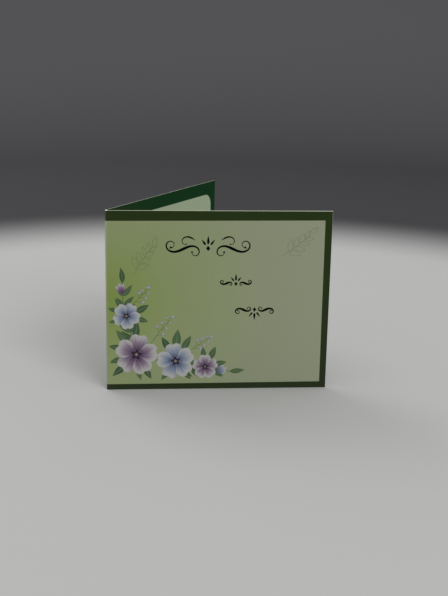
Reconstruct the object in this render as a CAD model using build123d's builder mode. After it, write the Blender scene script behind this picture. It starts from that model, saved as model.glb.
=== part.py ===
"""Greeting card: one sheet of heavy card, scored across the middle, folded once and stood open.

Frame: the card stands on its bottom edges at Z = 0. The front panel faces -Y and runs along +X,
from the fold to its free edge. The back panel swings away behind it. The origin is under the
middle of the standing card.
"""

import os

from build123d import *

# Driving dimensions, in millimetres and degrees
panel_width = 108.0  # each panel, from the outside of the fold to the free edge
panel_height = 89.0
sheet_thickness = 0.5
opening_angle = 57.4  # between the two panels as the card stands
fold_inner_radius = 0.4  # the bend's own radius, on the inside of the sheet
bead_spread = 0.3  # along each panel, from the start of the bend to the foot of the bead
bead_height = 0.3  # the bead's crown, above the straight line between its two feet
bead_foot_radius = 0.12  # where the bead runs out into each panel

# The fold in plan, with the centre of the bend at 0, 0
fold_outer_radius = fold_inner_radius + sheet_thickness
flat_run = panel_width - fold_outer_radius  # each panel's flat part, beyond the bend
front_run = Vector(1, 0)
front_out = Vector(0, -1)
back_run = front_run.rotate(Axis.Z, opening_angle)
back_out = back_run.rotate(Axis.Z, 90)
fold_middle = front_run.rotate(Axis.Z, opening_angle / 2)  # from the bend, midway between the panels

# The free edges' corners and the feet of the bead
front_corner = front_run * flat_run + front_out * fold_outer_radius
front_inner_corner = front_run * flat_run + front_out * fold_inner_radius
back_corner = back_run * flat_run + back_out * fold_outer_radius
back_inner_corner = back_run * flat_run + back_out * fold_inner_radius
front_foot = front_run * bead_spread + front_out * fold_inner_radius
back_foot = back_run * bead_spread + back_out * fold_inner_radius
bead_crown = (front_foot + back_foot) / 2 + fold_middle * bead_height

# The middle of the card's plan, which the origin lies under
plan_middle_x = (front_corner.X - fold_outer_radius) / 2
plan_middle_y = (back_corner.Y - fold_outer_radius) / 2

os.makedirs("parts", exist_ok=True)

# The folded sheet: its section in plan, drawn once round both panels, and raised to the card's height.
# The score leaves a rounded bead of squeezed fibres on the inside of the fold, and the bend itself
# is an arc on the outside.
with BuildPart() as folded_card:
    with BuildSketch(Plane((-plan_middle_x, -plan_middle_y, 0))) as section:
        with BuildLine():
            front_outside = Line(front_corner, front_out * fold_outer_radius)
            fold_outside = ThreePointArc(
                front_outside @ 1, fold_middle * -fold_outer_radius, back_out * fold_outer_radius
            )
            back_outside = Line(fold_outside @ 1, back_corner)
            back_cut_edge = Line(back_outside @ 1, back_inner_corner)
            back_inside = Line(back_cut_edge @ 1, back_foot)
            bead = ThreePointArc(back_inside @ 1, bead_crown, front_foot)
            front_inside = Line(bead @ 1, front_inner_corner)
            front_cut_edge = Line(front_inside @ 1, front_corner)
        make_face()
        bead_feet = section.vertices().sort_by_distance((0, 0))[:2]
        fillet(bead_feet, radius=bead_foot_radius)
    extrude(amount=panel_height)
folded_card.part.label = "folded_card"
export_step(folded_card.part, "parts/folded_card.step")
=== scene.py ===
import random
from math import atan2, cos, exp, pi, radians, sin

import bmesh
import bpy
from mathutils import Matrix, Vector


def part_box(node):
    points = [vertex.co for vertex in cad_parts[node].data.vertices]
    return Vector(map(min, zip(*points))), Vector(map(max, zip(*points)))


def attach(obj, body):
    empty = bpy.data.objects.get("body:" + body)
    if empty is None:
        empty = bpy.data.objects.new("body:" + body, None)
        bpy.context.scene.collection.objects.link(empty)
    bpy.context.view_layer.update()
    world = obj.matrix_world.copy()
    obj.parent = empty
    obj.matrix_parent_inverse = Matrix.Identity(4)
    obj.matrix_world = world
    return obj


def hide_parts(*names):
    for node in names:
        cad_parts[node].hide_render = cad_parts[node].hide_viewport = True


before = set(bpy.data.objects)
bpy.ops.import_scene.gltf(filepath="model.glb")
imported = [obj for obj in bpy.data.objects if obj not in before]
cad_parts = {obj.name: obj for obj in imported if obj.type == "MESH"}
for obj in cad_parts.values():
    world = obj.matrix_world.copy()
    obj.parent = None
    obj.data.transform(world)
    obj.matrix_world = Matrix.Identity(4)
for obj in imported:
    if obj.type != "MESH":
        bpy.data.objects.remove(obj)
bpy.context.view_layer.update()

# The card itself: one sheet of heavy white board, scored across the middle, folded once and trimmed
# by a guillotine. Its outside is printed pale green inside a dark green border, in one run across
# the fold, and its inside dark green around one pale panel with round corners.
mm = 0.001
card_low, card_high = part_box("folded_card")
panel_width = card_high.x - card_low.x
panel_height = card_high.z - card_low.z
stock_thickness = 0.5 * mm
opening_angle = radians(57.4)
fold_inner_radius = 0.4 * mm
fold_outer_radius = fold_inner_radius + stock_thickness
bead_spread = 0.3 * mm
bead_height = 0.3 * mm
bead_foot_rounding = 0.1 * mm
cut_rounding = 0.09 * mm
fold_steps = 24
bead_steps = 12
bead_foot_steps = 4
cut_steps = 2
sharp_corner = radians(60)

# The ways that each panel runs and faces in plan, and the arc of the bead that the score leaves inside
flat_run = panel_width - fold_outer_radius
bend_centre = Vector((card_low.x + fold_outer_radius, card_low.y + fold_outer_radius, card_low.z))
open_out = Matrix.Rotation(opening_angle, 3, "Z")
front_run = Vector((1, 0, 0))
front_out = Vector((0, -1, 0))
back_run = open_out @ front_run
back_out = open_out @ -front_out
fold_middle = Matrix.Rotation(opening_angle / 2, 3, "Z") @ front_run
front_foot = bend_centre + front_run * bead_spread + front_out * fold_inner_radius
back_foot = bend_centre + back_run * bead_spread + back_out * fold_inner_radius
half_chord = (front_foot - back_foot).length / 2
bead_radius = (half_chord**2 + bead_height**2) / (2 * bead_height)
bead_centre = (front_foot + back_foot) / 2 + fold_middle * (bead_height - bead_radius)
bead_turn = 2 * atan2(half_chord, bead_radius - bead_height)

sheet = bmesh.new()


def draw_to(pen, place):
    """Runs the outline in a straight line from its last vertex to a place in plan."""
    reached = bmesh.ops.extrude_vert_indiv(sheet, verts=[pen])["verts"][0]
    reached.co = place
    return reached


def draw_round(pen, centre, turn, steps):
    """Runs the outline round a centre, clockwise as seen from above."""
    arc = bmesh.ops.spin(sheet, geom=[pen], cent=centre, axis=(0, 0, -1), angle=turn, steps=steps)
    return arc["geom_last"][0]


def raise_faces(shape, faces, height):
    """Extrudes flat faces straight up, and keeps them as the underside."""
    raised = bmesh.ops.extrude_face_region(shape, geom=faces, use_keep_orig=True)["geom"]
    corners = [part for part in raised if isinstance(part, bmesh.types.BMVert)]
    bmesh.ops.translate(shape, verts=corners, vec=(0, 0, height))


def order_faces(shape):
    """Puts faces in the order of their corners. An extrude leaves them in another order each run."""
    shape.verts.index_update()
    in_order = sorted(shape.faces, key=lambda face: sorted(corner.index for corner in face.verts))
    for place, face in enumerate(in_order):
        face.index = place
    shape.faces.sort()


start = sheet.verts.new(bend_centre + front_run * flat_run + front_out * fold_outer_radius)
pen = draw_to(start, bend_centre + front_out * fold_outer_radius)
pen = draw_round(pen, bend_centre, pi - opening_angle, fold_steps)
pen = draw_to(pen, bend_centre + back_run * flat_run + back_out * fold_outer_radius)
pen = draw_to(pen, bend_centre + back_run * flat_run + back_out * fold_inner_radius)
bead_start = draw_to(pen, back_foot)
bead_end = draw_round(bead_start, bead_centre, bead_turn, bead_steps)
pen = draw_to(bead_end, bend_centre + front_run * flat_run + front_out * fold_inner_radius)
sheet.edges.new((pen, start))
bmesh.ops.contextual_create(sheet, geom=sheet.edges[:])
bmesh.ops.bevel(
    sheet,
    geom=[bead_start, bead_end],
    offset=bead_foot_rounding,
    segments=bead_foot_steps,
    profile=0.5,
    affect="VERTICES",
    material=-1,
)
raise_faces(sheet, sheet.faces[:], panel_height)
order_faces(sheet)
bmesh.ops.recalc_face_normals(sheet, faces=sheet.faces[:])
cut_edges = [edge for edge in sheet.edges if edge.calc_face_angle() > sharp_corner]
bmesh.ops.bevel(
    sheet,
    geom=cut_edges,
    offset=cut_rounding,
    segments=cut_steps,
    profile=0.5,
    affect="EDGES",
    material=-1,
)

# The top of the fold is bumped soft
worn_reach = 0.8 * mm
worn_drop = 0.03 * mm
worn_set_back = 0.1 * mm
fold_tip = bend_centre - fold_middle * fold_outer_radius + Vector((0, 0, panel_height))
for vertex in sheet.verts:
    worn = exp(-((vertex.co - fold_tip).length_squared) / worn_reach**2)
    vertex.co += fold_middle * worn_set_back * worn - Vector((0, 0, worn_drop * worn))

# The ink lies on the front, so the sheet keeps back from the card's box by the depth of the ink
ink_depth = 0.05 * mm
from_back = Matrix.Translation((0, -card_high.y, 0))
drawn_back = 1 - ink_depth / (card_high.y - card_low.y)
bmesh.ops.scale(sheet, vec=(1, drawn_back, 1), space=from_back, verts=sheet.verts[:])

# Both faces are printed, the inner one to its very corners. The cut edges and their outer corners are
# bare. The map of the sheet measures from the fold, less than 0 on the back panel, and up from the foot
OUTSIDE, INSIDE, CUT_EDGE = range(3)
level_face = 0.1
sheet_map = sheet.loops.layers.uv.new("Sheet")
for face in sheet.faces:
    from_bend = face.calc_center_median() - bend_centre
    from_bend.z = 0
    on_back = from_bend.dot(back_out) > from_bend.dot(front_out)
    out, run, side = (back_out, back_run, -1) if on_back else (front_out, front_run, 1)
    upright = abs(face.normal.z) < level_face
    at_free_edge = from_bend.dot(run) > flat_run - 2 * cut_rounding
    if face.normal.dot(out) < -level_face:
        face.material_index = INSIDE
    elif upright and not at_free_edge:
        face.material_index = OUTSIDE
    else:
        face.material_index = CUT_EDGE
    face.smooth = upright and from_bend.length < 2 * fold_outer_radius
    for loop in face.loops:
        from_fold = (loop.vert.co - bend_centre).dot(run) + fold_outer_radius
        loop[sheet_map].uv = (side * from_fold, loop.vert.co.z - card_low.z)

card = bpy.data.objects.new("printed_card", bpy.data.meshes.new("printed_card"))
sheet.to_mesh(card.data)
sheet.free()
bpy.context.scene.collection.objects.link(card)


def srgb(red, green, blue):
    """A colour written as it shows on a screen, 0 to 255, as a socket takes it."""
    return (*(((part / 255 + 0.055) / 1.055) ** 2.4 for part in (red, green, blue)), 1.0)


class Shade:
    """A value or colour on its way through a material. Sums with it add Math nodes."""

    def __init__(self, tree, socket=None):
        self.tree = tree
        self.socket = socket

    def node(self, kind, settings=None, sockets=None, output=0):
        """Adds a node, sets it, then fills or links its sockets, and returns one output."""
        made = self.tree.nodes.new("ShaderNode" + kind)
        for name, value in (settings or {}).items():
            if name == "stops":
                while len(made.color_ramp.elements) < len(value):
                    made.color_ramp.elements.new(1)
                for stop, (place, colour) in zip(made.color_ramp.elements, value):
                    stop.position = place
                    stop.color = colour
            else:
                setattr(made, name, value)
        for name, value in (sockets or {}).items():
            if isinstance(value, Shade):
                self.tree.links.new(value.socket, made.inputs[name])
            else:
                made.inputs[name].default_value = value
        return Shade(self.tree, made.outputs[output])

    def math(self, operation, first, second=0.0):
        return self.node("Math", {"operation": operation}, {0: first, 1: second})

    def __add__(self, other):
        return self.math("ADD", self, other)

    def __sub__(self, other):
        return self.math("SUBTRACT", self, other)

    def __rsub__(self, other):
        return self.math("SUBTRACT", other, self)

    def __mul__(self, other):
        return self.math("MULTIPLY", self, other)

    def __truediv__(self, other):
        return self.math("DIVIDE", self, other)

    def __pow__(self, other):
        return self.math("POWER", self, other)

    def __abs__(self):
        return self.math("ABSOLUTE", self)

    __radd__ = __add__
    __rmul__ = __mul__

    def above(self, edge, soft):
        """0 below an edge and 1 above it, with a soft step between."""
        limits = {"From Min": edge - soft, "From Max": edge + soft}
        return self.node("MapRange", {"interpolation_type": "SMOOTHSTEP"}, {"Value": self, **limits})

    def below(self, edge, soft):
        return 1 - self.above(edge, soft)

    def mix(self, first, second):
        """The first colour where this is 0 and the second where it is 1."""
        return self.node("Mix", {"data_type": "RGBA"}, {0: self, 6: first, 7: second}, output=2)

    def dim(self, colour):
        """A colour times this value."""
        settings = {"data_type": "RGBA", "blend_type": "MULTIPLY"}
        return self.node("Mix", settings, {0: 1.0, 6: colour, 7: self}, output=2)

    def noise(self, at, scale, detail, roughness=0.5):
        sizes = {"Scale": scale, "Detail": detail, "Roughness": roughness}
        return self.node("TexNoise", None, {"Vector": at, **sizes})

    def feed(self, socket):
        self.tree.links.new(self.socket, socket)


paper_sheen = 0.1


def new_finish(name, sheen=paper_sheen):
    """A material, its shader, a Shade to add nodes with, and the place of each point on its piece."""
    material = bpy.data.materials.new(name)
    material.use_nodes = True
    shader = material.node_tree.nodes["Principled BSDF"]
    shader.inputs["Specular IOR Level"].default_value = sheen
    shade = Shade(material.node_tree)
    return material, shader, shade, shade.node("TexCoord", output="Object")


fibre_size = 0.3 * mm
cockle_size = 22 * mm
fibre_depth = 0.006 * mm
cockle_depth = 0.05 * mm
roughness_spread = 0.16


def lay_paper_grain(shade, shader, place, roughness, tooth=1.0):
    """The fine tooth of the board, and the slight cockle of a sheet that has been handled."""
    fibres = shade.noise(place, 1 / fibre_size, detail=4, roughness=0.65)
    cockle = shade.noise(place, 1 / cockle_size, detail=1)
    height = fibres * fibre_depth * tooth + cockle * cockle_depth
    bump = shade.node("Bump", None, {"Strength": 1.0, "Distance": 1.0, "Height": height}, "Normal")
    bump.feed(shader.inputs["Normal"])
    (roughness + (fibres - 0.5) * roughness_spread).feed(shader.inputs["Roughness"])
    return fibres


mottle_scale = 900
mottle_depth = 0.06


def mottled(shade, place, colour):
    """Print as a press lays it, in fine clouds of a little more ink and a little less."""
    clouds = shade.noise(place, mottle_scale, detail=3)
    tone = 1 - mottle_depth / 2 + clouds * mottle_depth
    return tone.dim(colour)


def place_on_sheet(shade):
    """How far across from the fold, and how far up, a point lies on the map of the sheet."""
    on_sheet = shade.node("UVMap", {"uv_map": "Sheet"})
    across = shade.node("SeparateXYZ", None, {"Vector": on_sheet}, "X")
    up = shade.node("SeparateXYZ", None, {"Vector": on_sheet}, "Y")
    return across, up


# The print of the outside: a border, and a ground that glows out from beside the fold
print_roughness = 0.52
print_skew = radians(0.23)
print_edge = 0.04 * mm
top_margin = 4.81 * mm
bottom_margin = 3.07 * mm
free_margin = 3.35 * mm
glow_height = 45.5 * mm
glow_stretch = 0.97
border_foot = srgb(37, 48, 27)
border_head = srgb(35, 49, 17)
glow_colours = [
    (0.0, srgb(115, 134, 68)),
    (0.16, srgb(124, 139, 84)),
    (0.28, srgb(129, 141, 96)),
    (0.46, srgb(133, 143, 106)),
    (0.74, srgb(137, 143, 117)),
    (1.0, srgb(139, 144, 121)),
]
outside_print, shader, shade, place = new_finish("outside_print")
lay_paper_grain(shade, shader, place, print_roughness)
across, up = place_on_sheet(shade)
print_across = abs(across + (up - panel_height / 2) * print_skew)
print_up = up - (across - panel_width / 2) * print_skew
in_field = (
    print_across.below(panel_width - free_margin, print_edge)
    * print_up.above(bottom_margin, print_edge)
    * print_up.below(panel_height - top_margin, print_edge)
)
from_glow = (across**2 + ((up - glow_height) / glow_stretch) ** 2) ** 0.5
ground = shade.node("ValToRGB", {"stops": glow_colours}, {"Fac": from_glow / panel_width})
border = (print_up / panel_height).mix(border_foot, border_head)
printed = mottled(shade, place, in_field.mix(border, ground))

# Wear bares the board in a pale line down the fold, where the ink has cracked and stretched, more in the
# thin ink of the ground than in the border, and the line is also a painted highlight of the rounded fold
# catching the light. A rubbed line along the top, partly a painted highlight of the lit top edge, widens
# towards the free edge. Here and later, a reach is where a tone ends and how softly
fold_wear_and_highlight_reach = (0.5 * mm, 0.45 * mm)
border_fold_wear_and_highlight = 0.1
ground_fold_wear_and_highlight = 0.42
rub_and_highlight_widening = 0.13 * mm / panel_width
rub_and_highlight_soft = 0.02 * mm
rub_and_highlight_strength = 0.9
bare_board = srgb(203, 206, 196)
from_fold = abs(across)
fold_wear_and_highlight = from_fold.below(*fold_wear_and_highlight_reach) * (border_fold_wear_and_highlight + in_field * ground_fold_wear_and_highlight)
# The rubbed line along the top is also a painted highlight of the top edge lit from above, stronger towards
# the free edge
top_rub_and_highlight = (up + from_fold * rub_and_highlight_widening).above(panel_height - cut_rounding, rub_and_highlight_soft) * rub_and_highlight_strength
bared_and_highlit = shade.math("MAXIMUM", fold_wear_and_highlight, top_rub_and_highlight)
bared_and_highlit.mix(printed, bare_board).feed(shader.inputs["Base Color"])

# The print of the inside: one panel across the fold, a trace askew, in a border that turns browner
# towards the fold
panel_level_margin = 6.65 * mm
panel_free_margin = 4.82 * mm
panel_corner = 6.0 * mm
skew_pivot = 78 * mm
fold_tint_reach = (25 * mm, 25 * mm)
inside_border = srgb(4, 50, 18)
inside_border_at_fold = srgb(28, 50, 22)
inside_panel = srgb(147, 161, 134)
inside_print, shader, shade, place = new_finish("inside_print")
lay_paper_grain(shade, shader, place, print_roughness)
across, up = place_on_sheet(shade)
print_up = up - (across + skew_pivot) * print_skew
past_side = abs(across) - (panel_width - panel_free_margin - panel_corner)
past_level = abs(print_up - panel_height / 2) - (panel_height / 2 - panel_level_margin - panel_corner)
corner_across = shade.math("MAXIMUM", past_side, 0.0)
corner_up = shade.math("MAXIMUM", past_level, 0.0)
in_panel = ((corner_across**2 + corner_up**2) ** 0.5).below(panel_corner, print_edge)
near_fold = abs(across).below(*fold_tint_reach)
border = near_fold.mix(inside_border, inside_border_at_fold)
mottled(shade, place, in_panel.mix(border, inside_panel)).feed(shader.inputs["Base Color"])

# The bare board of the cut edges, toned darker than bare board for ink that bleeds over them and for painted
# shade among their fibres, and whitest where the tip of the fold is worn
board_roughness = 0.8
board_tooth = 3.0
tip_reach = (1.1 * mm, 0.5 * mm)
board_shade = srgb(146, 153, 131)
board_light = srgb(178, 184, 163)
worn_board = srgb(226, 229, 219)
cut_board, shader, shade, place = new_finish("cut_board")
fibres = lay_paper_grain(shade, shader, place, board_roughness, board_tooth)
from_tip = shade.node("VectorMath", {"operation": "DISTANCE"}, {0: place, 1: fold_tip}, "Value")
board = fibres.mix(board_shade, board_light)
from_tip.below(*tip_reach).mix(board, worn_board).feed(shader.inputs["Base Color"])

for finish in (outside_print, inside_print, cut_board):
    card.data.materials.append(finish)
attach(card, "root")
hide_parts("folded_card")

# The stems of the printed spray: green ink in tapering lines, from the corner blossom up beside the
# fold and along the foot of the panel, with finer ones that carry berries. The press lays the ink on
# the board as a thin film.
onto_front = Matrix.Translation(card_low + Vector((0, ink_depth, 0))) @ Matrix.Rotation(pi / 2, 4, "X")


def start_lines():
    """A curve for tapering lines of ink, with the half width of a line at each of its points."""
    lines = bpy.data.curves.new("ink_lines", "CURVE")
    lines.dimensions = "3D"
    lines.bevel_depth = 1.0
    lines.bevel_resolution = 2
    lines.use_fill_caps = True
    return lines


def draw_line(lines, places, half_widths, closed=False):
    """One line through places in the plane of the print, with its half width at each."""
    line = lines.splines.new("POLY")
    line.points.add(len(places) - 1)
    line.use_cyclic_u = closed
    for point, place, half_width in zip(line.points, places, half_widths):
        point.co = (place.x, place.y, 0.0, 1.0)
        point.radius = half_width


def finish_lines(lines, ink_height, widest):
    """Presses the lines flat, so that the widest stand no higher than the ink does."""
    drawn = bpy.data.objects.new("ink_lines", lines)
    mesh = bpy.data.meshes.new_from_object(drawn)
    mesh.transform(Matrix.Diagonal((1, 1, ink_height / widest, 1)))
    bpy.data.objects.remove(drawn)
    bpy.data.curves.remove(lines)
    return mesh


def lay_on_front(name, mesh, finish):
    """Turns a flat drawing up onto the front panel, as a printed piece of the card."""
    mesh.name = name
    mesh.transform(onto_front)
    mesh.materials.append(finish)
    piece = bpy.data.objects.new(name, mesh)
    bpy.context.scene.collection.objects.link(piece)
    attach(piece, "root")


stem_top = Vector((8, 54)) * mm
stem_end = Vector((60, 9)) * mm
stem_bow = 0.7
stem_step = 0.01
stem_half_width = 0.36 * mm
stem_thin_share = 0.45
stem_ink_height = 0.01 * mm
line_steps = 48
line_shares = [step / line_steps for step in range(line_steps + 1)]


def along_stem(share):
    """A place on the stem, from 0 beside the fold, round the corner, to 1 at the foot."""
    turn = share * pi / 2
    x = stem_end.x - (stem_end.x - stem_top.x) * cos(turn) ** stem_bow
    y = stem_top.y - (stem_top.y - stem_end.y) * sin(turn) ** stem_bow
    return Vector((x, y))


def growth_heading(share):
    """The way that the stem grows there: up before the corner, and outwards after it."""
    step = -stem_step if share < 0.5 else stem_step
    growth = along_stem(share + step) - along_stem(share)
    return atan2(growth.y, growth.x)


def stem_swelling(share):
    return stem_thin_share + (1 - stem_thin_share) * sin(share * pi)


def bowed_line(foot, heading, length, bow):
    """Places along a line that leaves its foot in a heading and bows to one side."""
    turn = Matrix.Rotation(heading, 2)
    return [foot + turn @ Vector((length * share, bow * share**2)) for share in line_shares]


stems = start_lines()
draw_line(
    stems,
    [along_stem(share) for share in line_shares],
    [stem_half_width * stem_swelling(share) for share in line_shares],
)

# Each twig is given by its foot, its heading in degrees, its length and its bow, in millimetres. Its
# branches stand out to both sides in turn, shorter towards its tip, and each ends in a berry
twigs = [((20, 21), 60, 20, -2.5), ((37, 17), 40, 17, -1.5), ((10, 41), 38, 15, 2.0)]
twig_half_width = 0.15 * mm
twig_taper = 0.5
twig_branches = 6
first_knot = 0.38
knot_step = 0.09
branch_lean = 42
branch_length = 3.6 * mm
branch_shortening = 0.35 * mm
branch_half_width = 0.09 * mm
tip_berry = 0.75 * mm
branch_berry = 0.72 * mm
berry_shrinking = 0.04 * mm
berries = []
for foot, heading, length, bow in twigs:
    twig = bowed_line(Vector(foot) * mm, radians(heading), length * mm, bow * mm)
    draw_line(stems, twig, [twig_half_width * (1 - twig_taper * share) for share in line_shares])
    berries.append((twig[-1], tip_berry))
    for branch in range(twig_branches):
        knot = twig[round(line_steps * (first_knot + knot_step * branch))]
        lean = radians(heading + (branch_lean if branch % 2 else -branch_lean))
        tip = knot + Vector((cos(lean), sin(lean))) * (branch_length - branch_shortening * branch)
        draw_line(stems, [knot, (knot + tip) / 2, tip], [branch_half_width] * 3)
        berries.append((tip, branch_berry - berry_shrinking * branch))

ink_roughness = 0.5
stem_mottle_scale = 700
stem_shade = srgb(66, 90, 57)
stem_light = srgb(92, 114, 73)
stem_ink, shader, shade, place = new_finish("stem_ink")
lay_paper_grain(shade, shader, place, ink_roughness)
stem_mottle = shade.noise(place, stem_mottle_scale, detail=2)
stem_mottle.mix(stem_shade, stem_light).feed(shader.inputs["Base Color"])
lay_on_front("printed_stems", finish_lines(stems, stem_ink_height, stem_half_width), stem_ink)

# The leaves of the spray: lance-shaped, in grey-green ink with a paler rib and veins, printed in
# pairs along the stems. No two have quite the same tone.
leaf_and_petal_seed = 5
chance = random.Random(leaf_and_petal_seed)
blade_columns = 8
blade_rows = 12
verts_per_leaf = 2 * (blade_columns + 1) * (blade_rows + 1)
ink_foot = 0.004 * mm
leaf_low_level = 0.006 * mm
leaf_level_step = 0.0003 * mm
leaf_belly = 0.8
leaf_blunt_tip = 0.03


def start_blades():
    """A drawing of petals or leaves, which keep each point's place on its own blade."""
    flat = bmesh.new()
    for name in ("across", "along", "tint", "under"):
        flat.verts.layers.float.new(name)
    return flat


def close_film(flat, verts, level):
    """Gives a flat shape its depth of ink, from just inside the board up to a level."""
    raise_faces(flat, list({face for vertex in verts for face in vertex.link_faces}), level)
    bmesh.ops.translate(flat, verts=verts, vec=(0, 0, -ink_foot))


def lay_blade(flat, outline, place, heading, level, under=0.0):
    """One petal or leaf: a small grid, shaped by its outline and closed as a film of ink."""
    layers = flat.verts.layers.float
    tint = chance.random()
    grid = bmesh.ops.create_grid(flat, x_segments=blade_columns, y_segments=blade_rows, size=1)["verts"]
    turn = Matrix.Rotation(heading, 3, "Z")
    for vertex in grid:
        across = vertex.co.x
        along = (vertex.co.y + 1) / 2
        vertex[layers["across"]] = across
        vertex[layers["along"]] = along
        vertex[layers["tint"]] = tint
        vertex[layers["under"]] = under
        vertex.co = turn @ outline(across, along).to_3d() + place.to_3d()
    close_film(flat, grid, level)


def finish_film(flat):
    """The mesh of a drawing whose films are all laid and closed."""
    order_faces(flat)
    bmesh.ops.recalc_face_normals(flat, faces=flat.faces[:])
    mesh = bpy.data.meshes.new("ink_film")
    flat.to_mesh(mesh)
    flat.free()
    return mesh


def leaf_outline(length, width, bow):
    """A lance shape with a pointed tip, bowed to one side."""

    def outline(across, along):
        half_width = width / 2 * (sin(pi * along**leaf_belly) + leaf_blunt_tip)
        return Vector((along * length, bow * along**2 - across * half_width))

    return outline


leaves = start_blades()


def lay_leaf(place, heading, length, width, bow):
    """One leaf on top of those before it, so that no two lie in the same plane."""
    level = leaf_low_level + leaf_level_step * len(leaves.verts) / verts_per_leaf
    lay_blade(leaves, leaf_outline(length, width, bow), place, heading, level)


# Pairs stand along the stem and are longest at its corner, with the longer leaf of each inside the
# bend, and one more leaf at either end. A lean is in degrees, and a length in millimetres
leaf_shares = [0.04, 0.09, 0.15, 0.21, 0.28, 0.35, 0.65, 0.72, 0.79, 0.85, 0.91, 0.96]
inner_lean = (40, 58)
inner_length = (8, 9.5)
outer_lean = (30, 40)
outer_length = (6.2, 7)
end_length_share = 0.7
corner_length_gain = 0.5
leaf_slimness = (0.3, 0.36)
leaf_bow = (0.05, 0.2)
end_leaf = (7.5 * mm, 2.5 * mm, 0.8 * mm)
for share in leaf_shares:
    for side in (-1, 1):
        inner = side < 0 if share < 0.5 else side > 0
        lean, reach = (inner_lean, inner_length) if inner else (outer_lean, outer_length)
        heading = growth_heading(share) + side * radians(chance.uniform(*lean))
        length = chance.uniform(*reach) * (end_length_share + corner_length_gain * sin(share * pi)) * mm
        width = length * chance.uniform(*leaf_slimness)
        bow = -side * length * chance.uniform(*leaf_bow)
        lay_leaf(along_stem(share), heading, length, width, bow)
for share in (0.0, 1.0):
    lay_leaf(along_stem(share), growth_heading(abs(share - stem_step)), *end_leaf)

# More leaves stand out from under each blossom, which is given by its middle, its radius and the way
# that its first petal points. A leaf is given by its heading and its length, as a share of that radius.
lilac_blossoms = [((14.5, 18.0), 10.6, 80), ((48.0, 11.5), 6.4, 20)]
blue_blossoms = [((33.5, 14.5), 9.4, 100), ((9.8, 37.5), 6.8, 60)]
collars = [
    [(128, 0.8), (158, 0.64), (196, 0.6), (224, 0.82), (276, 0.58), (300, 0.68)],
    [(-30, 0.9), (14, 1.0), (62, 1.1), (98, 0.9)],
    [(60, 0.9), (88, 1.05), (118, 0.8), (236, 0.58), (306, 0.6)],
    [(-14, 0.9), (24, 1.1), (118, 0.85), (152, 0.72), (204, 0.66)],
]
collar_start = 0.68
collar_slimness = (0.36, 0.44)
collar_bow = (-0.14, 0.14)
for (middle, radius, _), collar in zip(lilac_blossoms + blue_blossoms, collars):
    for heading, share in collar:
        heading = radians(heading)
        foot = Vector(middle) + Vector((cos(heading), sin(heading))) * radius * collar_start
        length = radius * share
        width = length * chance.uniform(*collar_slimness)
        bow = length * chance.uniform(*collar_bow)
        lay_leaf(foot * mm, heading, length * mm, width * mm, bow * mm)

# On a leaf a reach or a width is in shares of the leaf
blotch_scale = 350
tint_weight = 0.6
blotch_weight = 0.5
vein_count = 7
vein_slant = 1.6
vein_width = (0.1, 0.08)
vein_reach = (0.8, 0.15)
vein_strength = 0.5
rib_width = (0.09, 0.06)
leaf_shade = srgb(36, 58, 42)
leaf_light = srgb(78, 100, 68)
leaf_rib = srgb(94, 117, 84)
leaf_ink, shader, shade, place = new_finish("leaf_ink")
lay_paper_grain(shade, shader, place, ink_roughness)


def drawn_value(shade, name):
    """A value that a drawing keeps at each of its points."""
    return shade.node("Attribute", {"attribute_name": name}, output="Fac")


along = drawn_value(shade, "along")
aside = abs(drawn_value(shade, "across"))
blotch = shade.noise(place, blotch_scale, detail=3)
body = (drawn_value(shade, "tint") * tint_weight + blotch * blotch_weight).mix(leaf_shade, leaf_light)
from_vein = abs(shade.math("FRACT", along * vein_count - aside * vein_slant) - 0.5)
vein = from_vein.below(*vein_width) * aside.below(*vein_reach) * vein_strength
rib = aside.below(*rib_width)
shade.math("MAXIMUM", vein, rib).mix(body, leaf_rib).feed(shader.inputs["Base Color"])
lay_on_front("printed_leaves", finish_film(leaves), leaf_ink)

# The blossoms: five broad petals that overlap, each with a notch at its tip, in lilac ink or pale
# blue ink that fades to white at the rims. A few buds in the same inks stand on the stems.
petal_count = 5
low_petal, middle_petal, top_petal = 0.026 * mm, 0.031 * mm, 0.036 * mm
petal_levels = [low_petal, middle_petal, low_petal, middle_petal, top_petal]
petal_spread = radians(44)
petal_base_spread = 0.72
petal_start = 0.06
side_drop = 0.42
notch_depth = 0.075
notch_width = 0.2
ripple_depth = 0.02
ripple_turn = 9


def petal_outline(radius):
    """A fan from the middle of the blossom, round-shouldered and notched at its tip."""

    def outline(across, along):
        tip = 1 - side_drop * abs(across) ** 3 - notch_depth * exp(-((across / notch_width) ** 2))
        tip -= ripple_depth * cos(ripple_turn * across)
        reach = radius * (petal_start + (1 - petal_start) * along) * tip
        opened = petal_base_spread + (1 - petal_base_spread) * sin(along * pi / 2)
        turn = -across * petal_spread * opened
        return Vector((reach * cos(turn), reach * sin(turn)))

    return outline


# On a petal a reach is in shares of the petal, and a fringe is how far the streaks carry a tone
streaks_across, streaks_along, streaks_apart = 5, 0.8, 40
streak_scale = 1.6
heart_reach = (0.4, 0.28)
heart_fringe = 0.7
rim_reach = (0.72, 0.22)
rim_fringe = 0.5
side_rim_foot = 0.4
side_rim_gain = 0.62
crease_reach = (0.95, 0.05)
crease_start = (0.2, 0.15)
crease_strength = 0.4
tuck_reach = (0.55, 0.25)
tuck_strength = 0.45


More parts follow.
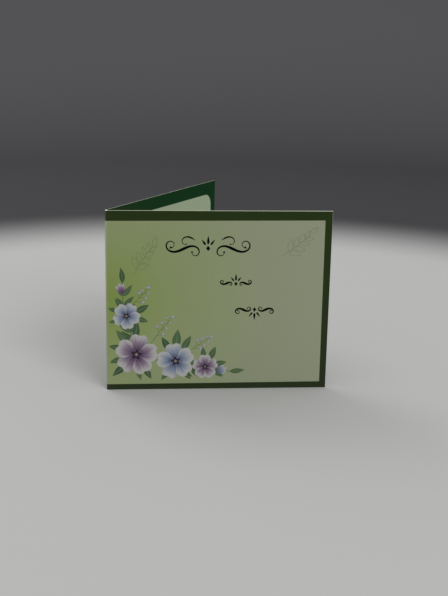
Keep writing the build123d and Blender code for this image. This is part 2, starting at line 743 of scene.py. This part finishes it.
def petal_finish(name, heart, body, rim):
    """Ink that is deep at a petal's base, streaked along it and almost white at its rim."""
    finish, shader, shade, place = new_finish(name)
    lay_paper_grain(shade, shader, place, ink_roughness)
    along = drawn_value(shade, "along")
    across = drawn_value(shade, "across")
    aside = abs(across)
    apart = drawn_value(shade, "tint") * streaks_apart
    streak_sockets = {"X": across * streaks_across, "Y": along * streaks_along, "Z": apart}
    streak_place = shade.node("CombineXYZ", None, streak_sockets)
    streaks = shade.noise(streak_place, streak_scale, detail=3) - 0.5
    hearted = (along + streaks * heart_fringe).below(*heart_reach)
    edge = shade.math("MAXIMUM", along, aside * (along * side_rim_gain + side_rim_foot))
    rimmed = (edge + streaks * rim_fringe).above(*rim_reach)
    tinted = rimmed.mix(hearted.mix(body, heart), rim)
    crease = aside.above(*crease_reach) * along.above(*crease_start) * crease_strength
    tucked = drawn_value(shade, "under") * aside.above(*tuck_reach) * tuck_strength
    shade.math("MAXIMUM", crease, tucked).mix(tinted, heart).feed(shader.inputs["Base Color"])
    return finish


def lay_blossom(flat, place, radius, heading):
    """Five petals round a middle, of which two lie under their neighbours and one over them."""
    for petal, level in enumerate(petal_levels):
        turn = heading + petal * 2 * pi / petal_count
        lay_blade(flat, petal_outline(radius), place, turn, level, under=level == low_petal)


bud_lean = radians(16)
bud_petal_width = 0.5
bud_petal_bow = 0.12
bud_side_petal = 0.9


def lay_bud(flat, place, length, heading):
    """A closed bud: two petals that lean apart, with a longer one over them."""
    for side, level in ((-1, low_petal), (1, middle_petal), (0, top_petal)):
        reach = length * (bud_side_petal if side else 1)
        petal = leaf_outline(reach, length * bud_petal_width, side * length * bud_petal_bow)
        lay_blade(flat, petal, place, heading + side * bud_lean, level)


# A bud is given by its share of the stem, its length and its lean in degrees
lilac_buds = [(0.03, 5.5, 18)]
blue_buds = [(0.97, 5.2, 22)]
lilac_ink = petal_finish(
    "lilac_ink", heart=srgb(84, 64, 88), body=srgb(124, 108, 126), rim=srgb(162, 161, 159)
)
blue_ink = petal_finish(
    "blue_ink", heart=srgb(84, 93, 118), body=srgb(127, 136, 153), rim=srgb(162, 164, 161)
)
for name, finish, blossoms, buds in (
    ("lilac_blossoms", lilac_ink, lilac_blossoms, lilac_buds),
    ("blue_blossoms", blue_ink, blue_blossoms, blue_buds),
):
    flat = start_blades()
    for middle, radius, heading in blossoms:
        lay_blossom(flat, Vector(middle) * mm, radius * mm, radians(heading))
    for share, length, lean in buds:
        lay_bud(flat, along_stem(share), length * mm, growth_heading(share) + radians(lean))
    lay_on_front(name, finish_film(flat), finish)

# The eyes of the blossoms and the berries: spots of ink. An eye is a small five-lobed star in plum
# with a pale middle and a ring of fine dots, and a berry is a pale round spot.
eye_share = 0.2
eye_lobes = 0.3
eye_level = 0.044 * mm
eye_segments = 60
dot_count = 15
dot_share = 0.026
dot_ring = 0.31
far_dot = 1.12
dot_segments = 12
berry_level = 0.024 * mm


def start_spots():
    """A drawing of spots, which keep how far each point is from the middle of its spot."""
    flat = bmesh.new()
    flat.verts.layers.float.new("from_middle")
    return flat


def lay_spot(flat, place, radius, segments, level, lobes=0.0, heading=0.0):
    """A flat spot of ink, closed all round. With lobes it is a star, with a lobe for each petal."""
    from_middle = flat.verts.layers.float["from_middle"]
    spot = bmesh.ops.create_circle(flat, cap_ends=True, cap_tris=True, radius=1, segments=segments)["verts"]
    for vertex in spot:
        turn = atan2(vertex.co.y, vertex.co.x)
        swell = 1 + lobes * cos(petal_count * (turn - heading))
        vertex[from_middle] = vertex.co.length
        vertex.co = vertex.co * radius * swell + place.to_3d()
    close_film(flat, spot, level)


eyes = start_spots()
for middle, radius, heading in lilac_blossoms + blue_blossoms:
    middle = Vector(middle) * mm
    radius = radius * mm
    heading = radians(heading)
    lay_spot(eyes, middle, radius * eye_share, eye_segments, eye_level, eye_lobes, heading)
    for dot in range(dot_count):
        turn = heading + dot * 2 * pi / dot_count
        out = radius * dot_ring * (1 if dot % 3 else far_dot)
        dot_place = middle + Vector((cos(turn), sin(turn))) * out
        lay_spot(eyes, dot_place, radius * dot_share, dot_segments, eye_level)
speckle_scale = 2500
speckle_fringe = 0.3
eye_middle_reach = (0.34, 0.12)
eye_middle = srgb(128, 122, 104)
eye_plum = srgb(46, 34, 52)
eye_ink, shader, shade, place = new_finish("eye_ink")
lay_paper_grain(shade, shader, place, ink_roughness)
speckle = shade.noise(place, speckle_scale, detail=2)
from_middle = drawn_value(shade, "from_middle") + (speckle - 0.5) * speckle_fringe
from_middle.above(*eye_middle_reach).mix(eye_middle, eye_plum).feed(shader.inputs["Base Color"])
lay_on_front("blossom_eyes", finish_film(eyes), eye_ink)

berry_spots = start_spots()
for middle, radius in berries:
    lay_spot(berry_spots, middle, radius, dot_segments, berry_level)
berry_middle_reach = (0.55, 0.4)
berry_middle = srgb(168, 167, 172)
berry_rim = srgb(128, 122, 152)
berry_ink, shader, shade, place = new_finish("berry_ink")
lay_paper_grain(shade, shader, place, ink_roughness)
from_middle = drawn_value(shade, "from_middle")
from_middle.above(*berry_middle_reach).mix(berry_middle, berry_rim).feed(shader.inputs["Base Color"])
lay_on_front("spray_berries", finish_film(berry_spots), berry_ink)

# The faint sprigs: a bowed stem with outlined leaves in pairs, drawn in thin lines of an ink that is
# hardly darker than the ground. One is near the free corner, and one above the spray.
faint_half_width = 0.13 * mm
faint_ink_height = 0.008 * mm
sprig_length = 17 * mm
sprig_bow = 2.6 * mm
sprig_pairs = 4
first_pair = 0.24
pair_step = 0.2
pair_lean = 48
pair_closing = 5
pair_length = 6.0 * mm
pair_shortening = 0.6 * mm
tip_leaf_lean = radians(12)
tip_leaf_length = 5.0 * mm
outline_steps = 24
outline_half_width = 0.21
sprigs = start_lines()


def draw_outlined_leaf(lines, base, heading, length):
    """The outline of a lance-shaped leaf, out along one side and back along the other."""
    turn = Matrix.Rotation(heading, 2)
    outline = []
    for step in range(2 * outline_steps):
        ahead = 1 - abs(1 - step / outline_steps)
        side = 1 if step <= outline_steps else -1
        aside = side * outline_half_width * sin(pi * ahead**leaf_belly)
        outline.append(base + turn @ Vector((ahead, aside)) * length)
    draw_line(lines, outline, [faint_half_width] * len(outline), closed=True)


def draw_sprig(lines, foot, heading, bow):
    """One sprig from its foot, bowed to one side, with a leaf at its tip."""
    stem = bowed_line(foot, heading, sprig_length, bow)
    draw_line(lines, stem, [faint_half_width] * len(stem))
    for pair in range(sprig_pairs):
        base = stem[round(line_steps * (first_pair + pair_step * pair))]
        length = pair_length - pair_shortening * pair
        for side in (-1, 1):
            lean = side * radians(pair_lean - pair_closing * pair)
            draw_outlined_leaf(lines, base, heading + lean, length)
    draw_outlined_leaf(lines, stem[-1], heading + tip_leaf_lean, tip_leaf_length)


draw_sprig(sprigs, foot=Vector((84, 67)) * mm, heading=radians(30), bow=sprig_bow)
draw_sprig(sprigs, foot=Vector((13, 57.5)) * mm, heading=radians(64), bow=-sprig_bow)
faint_by_fold = srgb(110, 127, 76)
faint_by_free_edge = srgb(124, 131, 104)
faint_ink, shader, shade, place = new_finish("faint_ink")
lay_paper_grain(shade, shader, place, print_roughness)
from_fold = shade.node("SeparateXYZ", None, {"Vector": place}, "X") - card_low.x
(from_fold / panel_width).mix(faint_by_fold, faint_by_free_edge).feed(shader.inputs["Base Color"])
lay_on_front("faint_sprigs", finish_lines(sprigs, faint_ink_height, faint_half_width), faint_ink)

# The scrolls: three penman's ornaments in black ink, each the same on both sides of a small lozenge
# with a palmette of drops. A stroke swells and thins as a broad nib draws it, and ends in a drop. Their
# lengths and widths are in millimetres.
scroll_steps = 64
scroll_ink_height = 0.036 * mm
widest_stroke = 2.2
nib_taper = 1.3
point_width = 0.06
end_drop_share = 0.06
end_drop_stop = 0.9
end_drop_turn = pi / 1.3
scrolls = start_lines()


def scroll_stroke(start, heading, length, curl, widths, lead_in=0.0):
    """The places and widths of a stroke that starts almost straight and curls up ever tighter."""
    thick, thin, drop = widths
    here = Vector(start)
    places = []
    stroke_widths = []
    for step in range(scroll_steps + 1):
        share = step / scroll_steps
        places.append(here)
        width = thin + (thick - thin) * (1 - share) ** nib_taper
        if share < lead_in:
            width = point_width + (width - point_width) * sin(share / lead_in * pi / 2)
        into_drop = max(0, share - 1 + end_drop_share) / end_drop_share
        stroke_widths.append(width + drop * sin(min(into_drop, end_drop_stop) * end_drop_turn))
        turn = heading + curl * share**2
        here = here + Vector((cos(turn), sin(turn))) * length / scroll_steps
    return places, stroke_widths


# A drop of the palmette is given by its start, its heading in degrees, its length and its width, all
# but the heading in proportion to the lozenge
upright_drop = ((0, 1.6), 90, 3.2, 0.9)
leaning_drop = ((0.9, 1.3), 52, 2.6, 0.75)
drop_belly = 0.55
drop_point_width = 0.03
lozenge_width = 1.6
lozenge_point_width = 0.02
stroke_slant = radians(-26)


def palmette_drop(lozenge, start, heading, length, width):
    """The places and widths of a drop, round at its start and drawn out to a point."""
    heading = radians(heading)
    reach = Vector((cos(heading), sin(heading))) * length * lozenge
    places = [Vector(start) * lozenge + reach * share for share in line_shares]
    swelling = [sin(pi * share**drop_belly) for share in line_shares]
    return places, [width * lozenge * swell + drop_point_width for swell in swelling]


def ornament(thick_place, outward, inward, widths, lozenge):
    """The strokes that an ornament has in pairs, and those upon its middle line.

    An S-shaped stroke is thickest at a place from which it runs outward and inward, each way with a
    length and a curl in degrees. The lozenge is given by half its height.
    """
    out_length, out_curl = outward
    in_length, in_curl = inward
    out_places, out_widths = scroll_stroke(thick_place, stroke_slant, out_length, radians(out_curl), widths)
    in_places, in_widths = scroll_stroke(thick_place, stroke_slant + pi, in_length, radians(in_curl), widths)
    paired = [
        (in_places[:0:-1] + out_places, in_widths[:0:-1] + out_widths),
        palmette_drop(lozenge, *leaning_drop),
    ]
    lozenge_places = [Vector((0, lozenge)), Vector((0, 0)), Vector((0, -lozenge))]
    single = [
        (lozenge_places, [lozenge_point_width, lozenge_width * lozenge, lozenge_point_width]),
        palmette_drop(lozenge, *upright_drop),
    ]
    return paired, single


def draw_scroll(lines, paired, single, middle, flip):
    """One ornament about its middle: some strokes on both sides of it, and some upon it."""
    middle = Vector(middle)
    for side, strokes in ((-1, paired), (1, paired), (1, single)):
        for places, stroke_widths in strokes:
            placed = [(middle + Vector((side * spot.x, flip * spot.y))) * mm for spot in places]
            draw_line(lines, placed, [width / 2 * mm for width in stroke_widths])


# The widest ornament is at the top, with one more pair of strokes above the rest
paired, single = ornament(
    thick_place=(11.7, -0.2),
    outward=(18.9, 420),
    inward=(15.2, 330),
    widths=(1.4, 0.26, 0.75),
    lozenge=1.3,
)
upper_stroke = scroll_stroke(
    start=(6.2, 3.9),
    heading=radians(36),
    length=11.0,
    curl=radians(-255),
    widths=(1.15, 0.22, 0.55),
    lead_in=0.35,
)
paired.append(upper_stroke)
draw_scroll(scrolls, paired, single, middle=(48.7, 70.8), flip=1)

# Two small ornaments stand below it to the right, the lower of them upside down
paired, single = ornament(
    thick_place=(4.3, 0.3),
    outward=(7.0, 400),
    inward=(4.6, 300),
    widths=(1.15, 0.25, 0.5),
    lozenge=1.05,
)
draw_scroll(scrolls, paired, single, middle=(62.3, 53.4), flip=1)
paired, single = ornament(
    thick_place=(5.2, 0.2),
    outward=(9.2, 420),
    inward=(6.6, 330),
    widths=(1.25, 0.25, 0.55),
    lozenge=1.12,
)
draw_scroll(scrolls, paired, single, middle=(71.6, 40.5), flip=-1)
black_sheen = 0.02
black_roughness = 0.42
black_mottle_scale = 1200
black_deep = srgb(2, 4, 0)
black_light = srgb(8, 10, 4)
scroll_ink, shader, shade, place = new_finish("scroll_ink", black_sheen)
lay_paper_grain(shade, shader, place, black_roughness)
black_mottle = shade.noise(place, black_mottle_scale, detail=2)
black_mottle.mix(black_deep, black_light).feed(shader.inputs["Base Color"])
scroll_mesh = finish_lines(scrolls, scroll_ink_height, widest_stroke / 2 * mm)
lay_on_front("scroll_ornaments", scroll_mesh, scroll_ink)

# The surface that the card stands on: studio paper that lies flat under the card, pale around it, and
# sweeps up all round. Away from the card it darkens in painted shade of the light falling off, dark behind
# the card and a little lighter higher up.
floor_radius = 0.75
sweep_radius = 0.4
round_steps = 96
sweep_steps = 20
floor = bmesh.new()
middle = floor.verts.new((0, 0, 0))
rim = bmesh.ops.extrude_vert_indiv(floor, verts=[middle])["verts"][0]
rim.co = (floor_radius, 0, 0)
bmesh.ops.spin(
    floor,
    geom=[rim],
    cent=(floor_radius, 0, sweep_radius),
    axis=(0, -1, 0),
    angle=pi / 2,
    steps=sweep_steps,
)
bmesh.ops.spin(
    floor,
    geom=floor.verts[:] + floor.edges[:],
    cent=(0, 0, 0),
    axis=(0, 0, 1),
    angle=2 * pi,
    steps=round_steps,
    use_merge=True,
)
bmesh.ops.remove_doubles(floor, verts=floor.verts[:], dist=0.1 * mm)
bmesh.ops.recalc_face_normals(floor, faces=floor.faces[:])
for face in floor.faces:
    face.smooth = True
    if face.normal.z < 0:
        face.normal_flip()
backdrop = bpy.data.objects.new("backdrop", bpy.data.meshes.new("backdrop"))
floor.to_mesh(backdrop.data)
floor.free()
bpy.context.scene.collection.objects.link(backdrop)
pale_reach = (0.35, 0.075)
painted_shade_reach = (0.95, 0.2)
studio_roughness = 0.9
studio_pale = srgb(167, 167, 166)
studio_painted_shade = srgb(62, 62, 64)
studio_painted_shade_far = srgb(79, 79, 81)
studio_paper, shader, shade, place = new_finish("studio_paper")
away = shade.node("VectorMath", {"operation": "LENGTH"}, {0: place}, "Value")
painted_falloff_shade = away.above(*painted_shade_reach).mix(studio_painted_shade, studio_painted_shade_far)
away.above(*pale_reach).mix(studio_pale, painted_falloff_shade).feed(shader.inputs["Base Color"])
shader.inputs["Roughness"].default_value = studio_roughness
backdrop.data.materials.append(studio_paper)

# Plain soft light: an even sky gives most of it, a wide lamp in front on the right favours the front
# panel, and a weak one behind on the left reaches the back. The sky itself shows as a plain grey, to
# the camera and in the sheen of the print.
sky_light = srgb(240, 240, 240)
sky_seen = srgb(78, 78, 80)
world = bpy.data.worlds.new("studio_air")
world.use_nodes = True
sky = Shade(world.node_tree)
seen = sky.node("LightPath", output="Is Camera Ray") + sky.node("LightPath", output="Is Glossy Ray")
air = world.node_tree.nodes["Background"]
seen.mix(sky_light, sky_seen).feed(air.inputs["Color"])
bpy.context.scene.world = world

lamp_target = Vector((0, 0, 0.04))


def soft_lamp(name, place, size, power):
    lamp = bpy.data.objects.new(name, bpy.data.lights.new(name, "AREA"))
    lamp.data.size = size
    lamp.data.energy = power
    lamp.location = place
    lamp.rotation_euler = (lamp_target - Vector(place)).to_track_quat("-Z", "Y").to_euler()
    bpy.context.scene.collection.objects.link(lamp)


soft_lamp("front_softbox", (1.1, -2.2, 1.6), size=1.5, power=48)
soft_lamp("back_softbox", (-0.8, 0.9, 1.0), size=0.9, power=8)

# The camera stands where the photograph was taken from. Its place, its turn and its lens were fitted to
# the corners of the card there.
photo_height = 596
focal_pixels = 1047.5
camera_place = Vector((-38.93, -530.73, 180.33)) * mm
camera_yaw = radians(4.904)
camera_pitch = radians(15.391)
camera_roll = radians(1.082)
nearest_seen = 0.01
camera = bpy.data.objects.new("camera", bpy.data.cameras.new("camera"))
camera.data.lens = focal_pixels * camera.data.sensor_width / photo_height
camera.data.clip_start = nearest_seen
camera.matrix_world = (
    Matrix.Translation(camera_place)
    @ Matrix.Rotation(-camera_yaw, 4, "Z")
    @ Matrix.Rotation(pi / 2 - camera_pitch, 4, "X")
    @ Matrix.Rotation(camera_roll, 4, "Z")
)
bpy.context.scene.collection.objects.link(camera)
bpy.context.scene.camera = camera
bpy.context.scene.view_settings.view_transform = "Standard"
